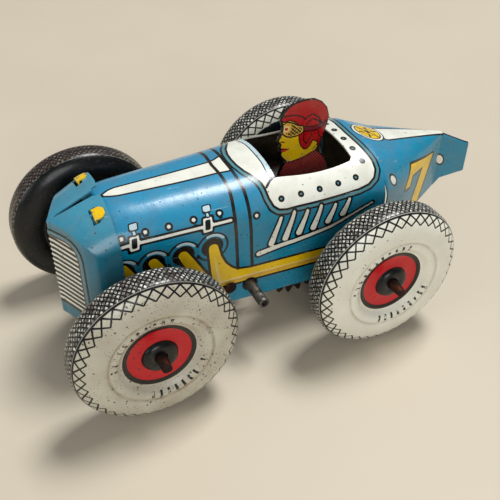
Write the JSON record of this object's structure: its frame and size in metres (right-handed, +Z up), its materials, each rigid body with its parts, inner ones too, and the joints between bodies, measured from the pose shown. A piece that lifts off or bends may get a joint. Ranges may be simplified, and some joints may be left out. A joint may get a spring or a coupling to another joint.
{
  "type": "clockwork tin racing car toy",
  "caption": "Pressed-tin toy racing car with balloon wheels, a flat seated driver and a spring motor that drives the rear axle through gears.",
  "frame": {"origin": "on the ground under the middle of the car, at the bounding box's bottom centre", "axes": "+X towards the nose, +Y towards the car's left side, +Z up"},
  "size_m": [0.1378, 0.0806, 0.0614],
  "materials": {
    "body_print": "gloss lithographed tin, lightly worn",
    "nose_print": "gloss lithographed tin, lightly worn",
    "driver_print": "gloss lithographed tin",
    "tyre_print": "printed tin, worn and speckled",
    "black_enamel": "gloss black enamel",
    "frame_steel": "dull plated sheet, tarnished",
    "rivet_steel": "browned",
    "gear_steel": "dark, oiled",
    "axle_steel": "browned by rust",
    "stem_steel": "grey, pitted",
    "spring_steel": "blued",
    "pinion_brass": "dull"
  },
  "bodies": {
    "chassis": {"body_shell": "body_print", "nose_cap": "nose_print", "driver_figure": "driver_print", "seat_bridge": "frame_steel", "motor_plate_left": "frame_steel", "motor_plate_right": "frame_steel", "pillar_front_top": "frame_steel", "pillar_front_bottom": "frame_steel", "pillar_rear_top": "frame_steel", "pillar_rear_bottom": "frame_steel", "body_rivet_left": "rivet_steel", "body_rivet_right": "rivet_steel", "mainspring": "spring_steel"},
    "rear_wheels": {"rear_axle": "axle_steel", "axle_pinion": "gear_steel", "wheel_rear_left_outer": "tyre_print", "wheel_rear_left_inner": "black_enamel", "wheel_rear_right_outer": "tyre_print", "wheel_rear_right_inner": "black_enamel"},
    "front_wheels": {"front_axle": "axle_steel", "wheel_front_left_outer": "tyre_print", "wheel_front_left_inner": "black_enamel", "wheel_front_right_outer": "tyre_print", "wheel_front_right_inner": "black_enamel"},
    "idler": {"idler_arbor": "axle_steel", "idler_wheel": "gear_steel", "idler_pinion": "pinion_brass"},
    "drive_wheel": {"great_wheel": "gear_steel", "click_rivet": "pinion_brass", "click_spring": "spring_steel"},
    "winder": {"winding_arbor": "stem_steel", "ratchet_wheel": "gear_steel"},
    "click": {"click_pawl": "gear_steel"}
  },
  "joints": [
    {"name": "rear_axle_spin", "type": "hinge", "parent": "chassis", "child": "rear_wheels", "pos_m": [-0.0183, 0, 0.02181], "axis": [0, 1, 0], "continuous": true},
    {"name": "front_axle_spin", "type": "hinge", "parent": "chassis", "child": "front_wheels", "pos_m": [0.0471, 0, 0.02181], "axis": [0, 1, 0], "continuous": true},
    {"name": "idler_spin", "type": "hinge", "parent": "chassis", "child": "idler", "pos_m": [-0.00233, 0, 0.01767], "axis": [0, 1, 0], "continuous": true},
    {"name": "drive_wheel_spin", "type": "hinge", "parent": "chassis", "child": "drive_wheel", "pos_m": [0.01465, 0, 0.0185], "axis": [0, 1, 0], "continuous": true},
    {"name": "winding_turn", "type": "hinge", "parent": "drive_wheel", "child": "winder", "pos_m": [0.01465, 0, 0.0185], "axis": [0, 1, 0], "range_deg": [-1440, 0]},
    {"name": "click_rock", "type": "hinge", "parent": "drive_wheel", "child": "click", "pos_m": [0.00982, 0, 0.02513], "axis": [0, 1, 0], "range_deg": [0, 12]}
  ],
  "couplings": [
    {"joint": "idler_spin", "follows": "rear_axle_spin", "ratio": -0.5},
    {"joint": "drive_wheel_spin", "follows": "rear_axle_spin", "ratio": 0.20833}
  ]
}
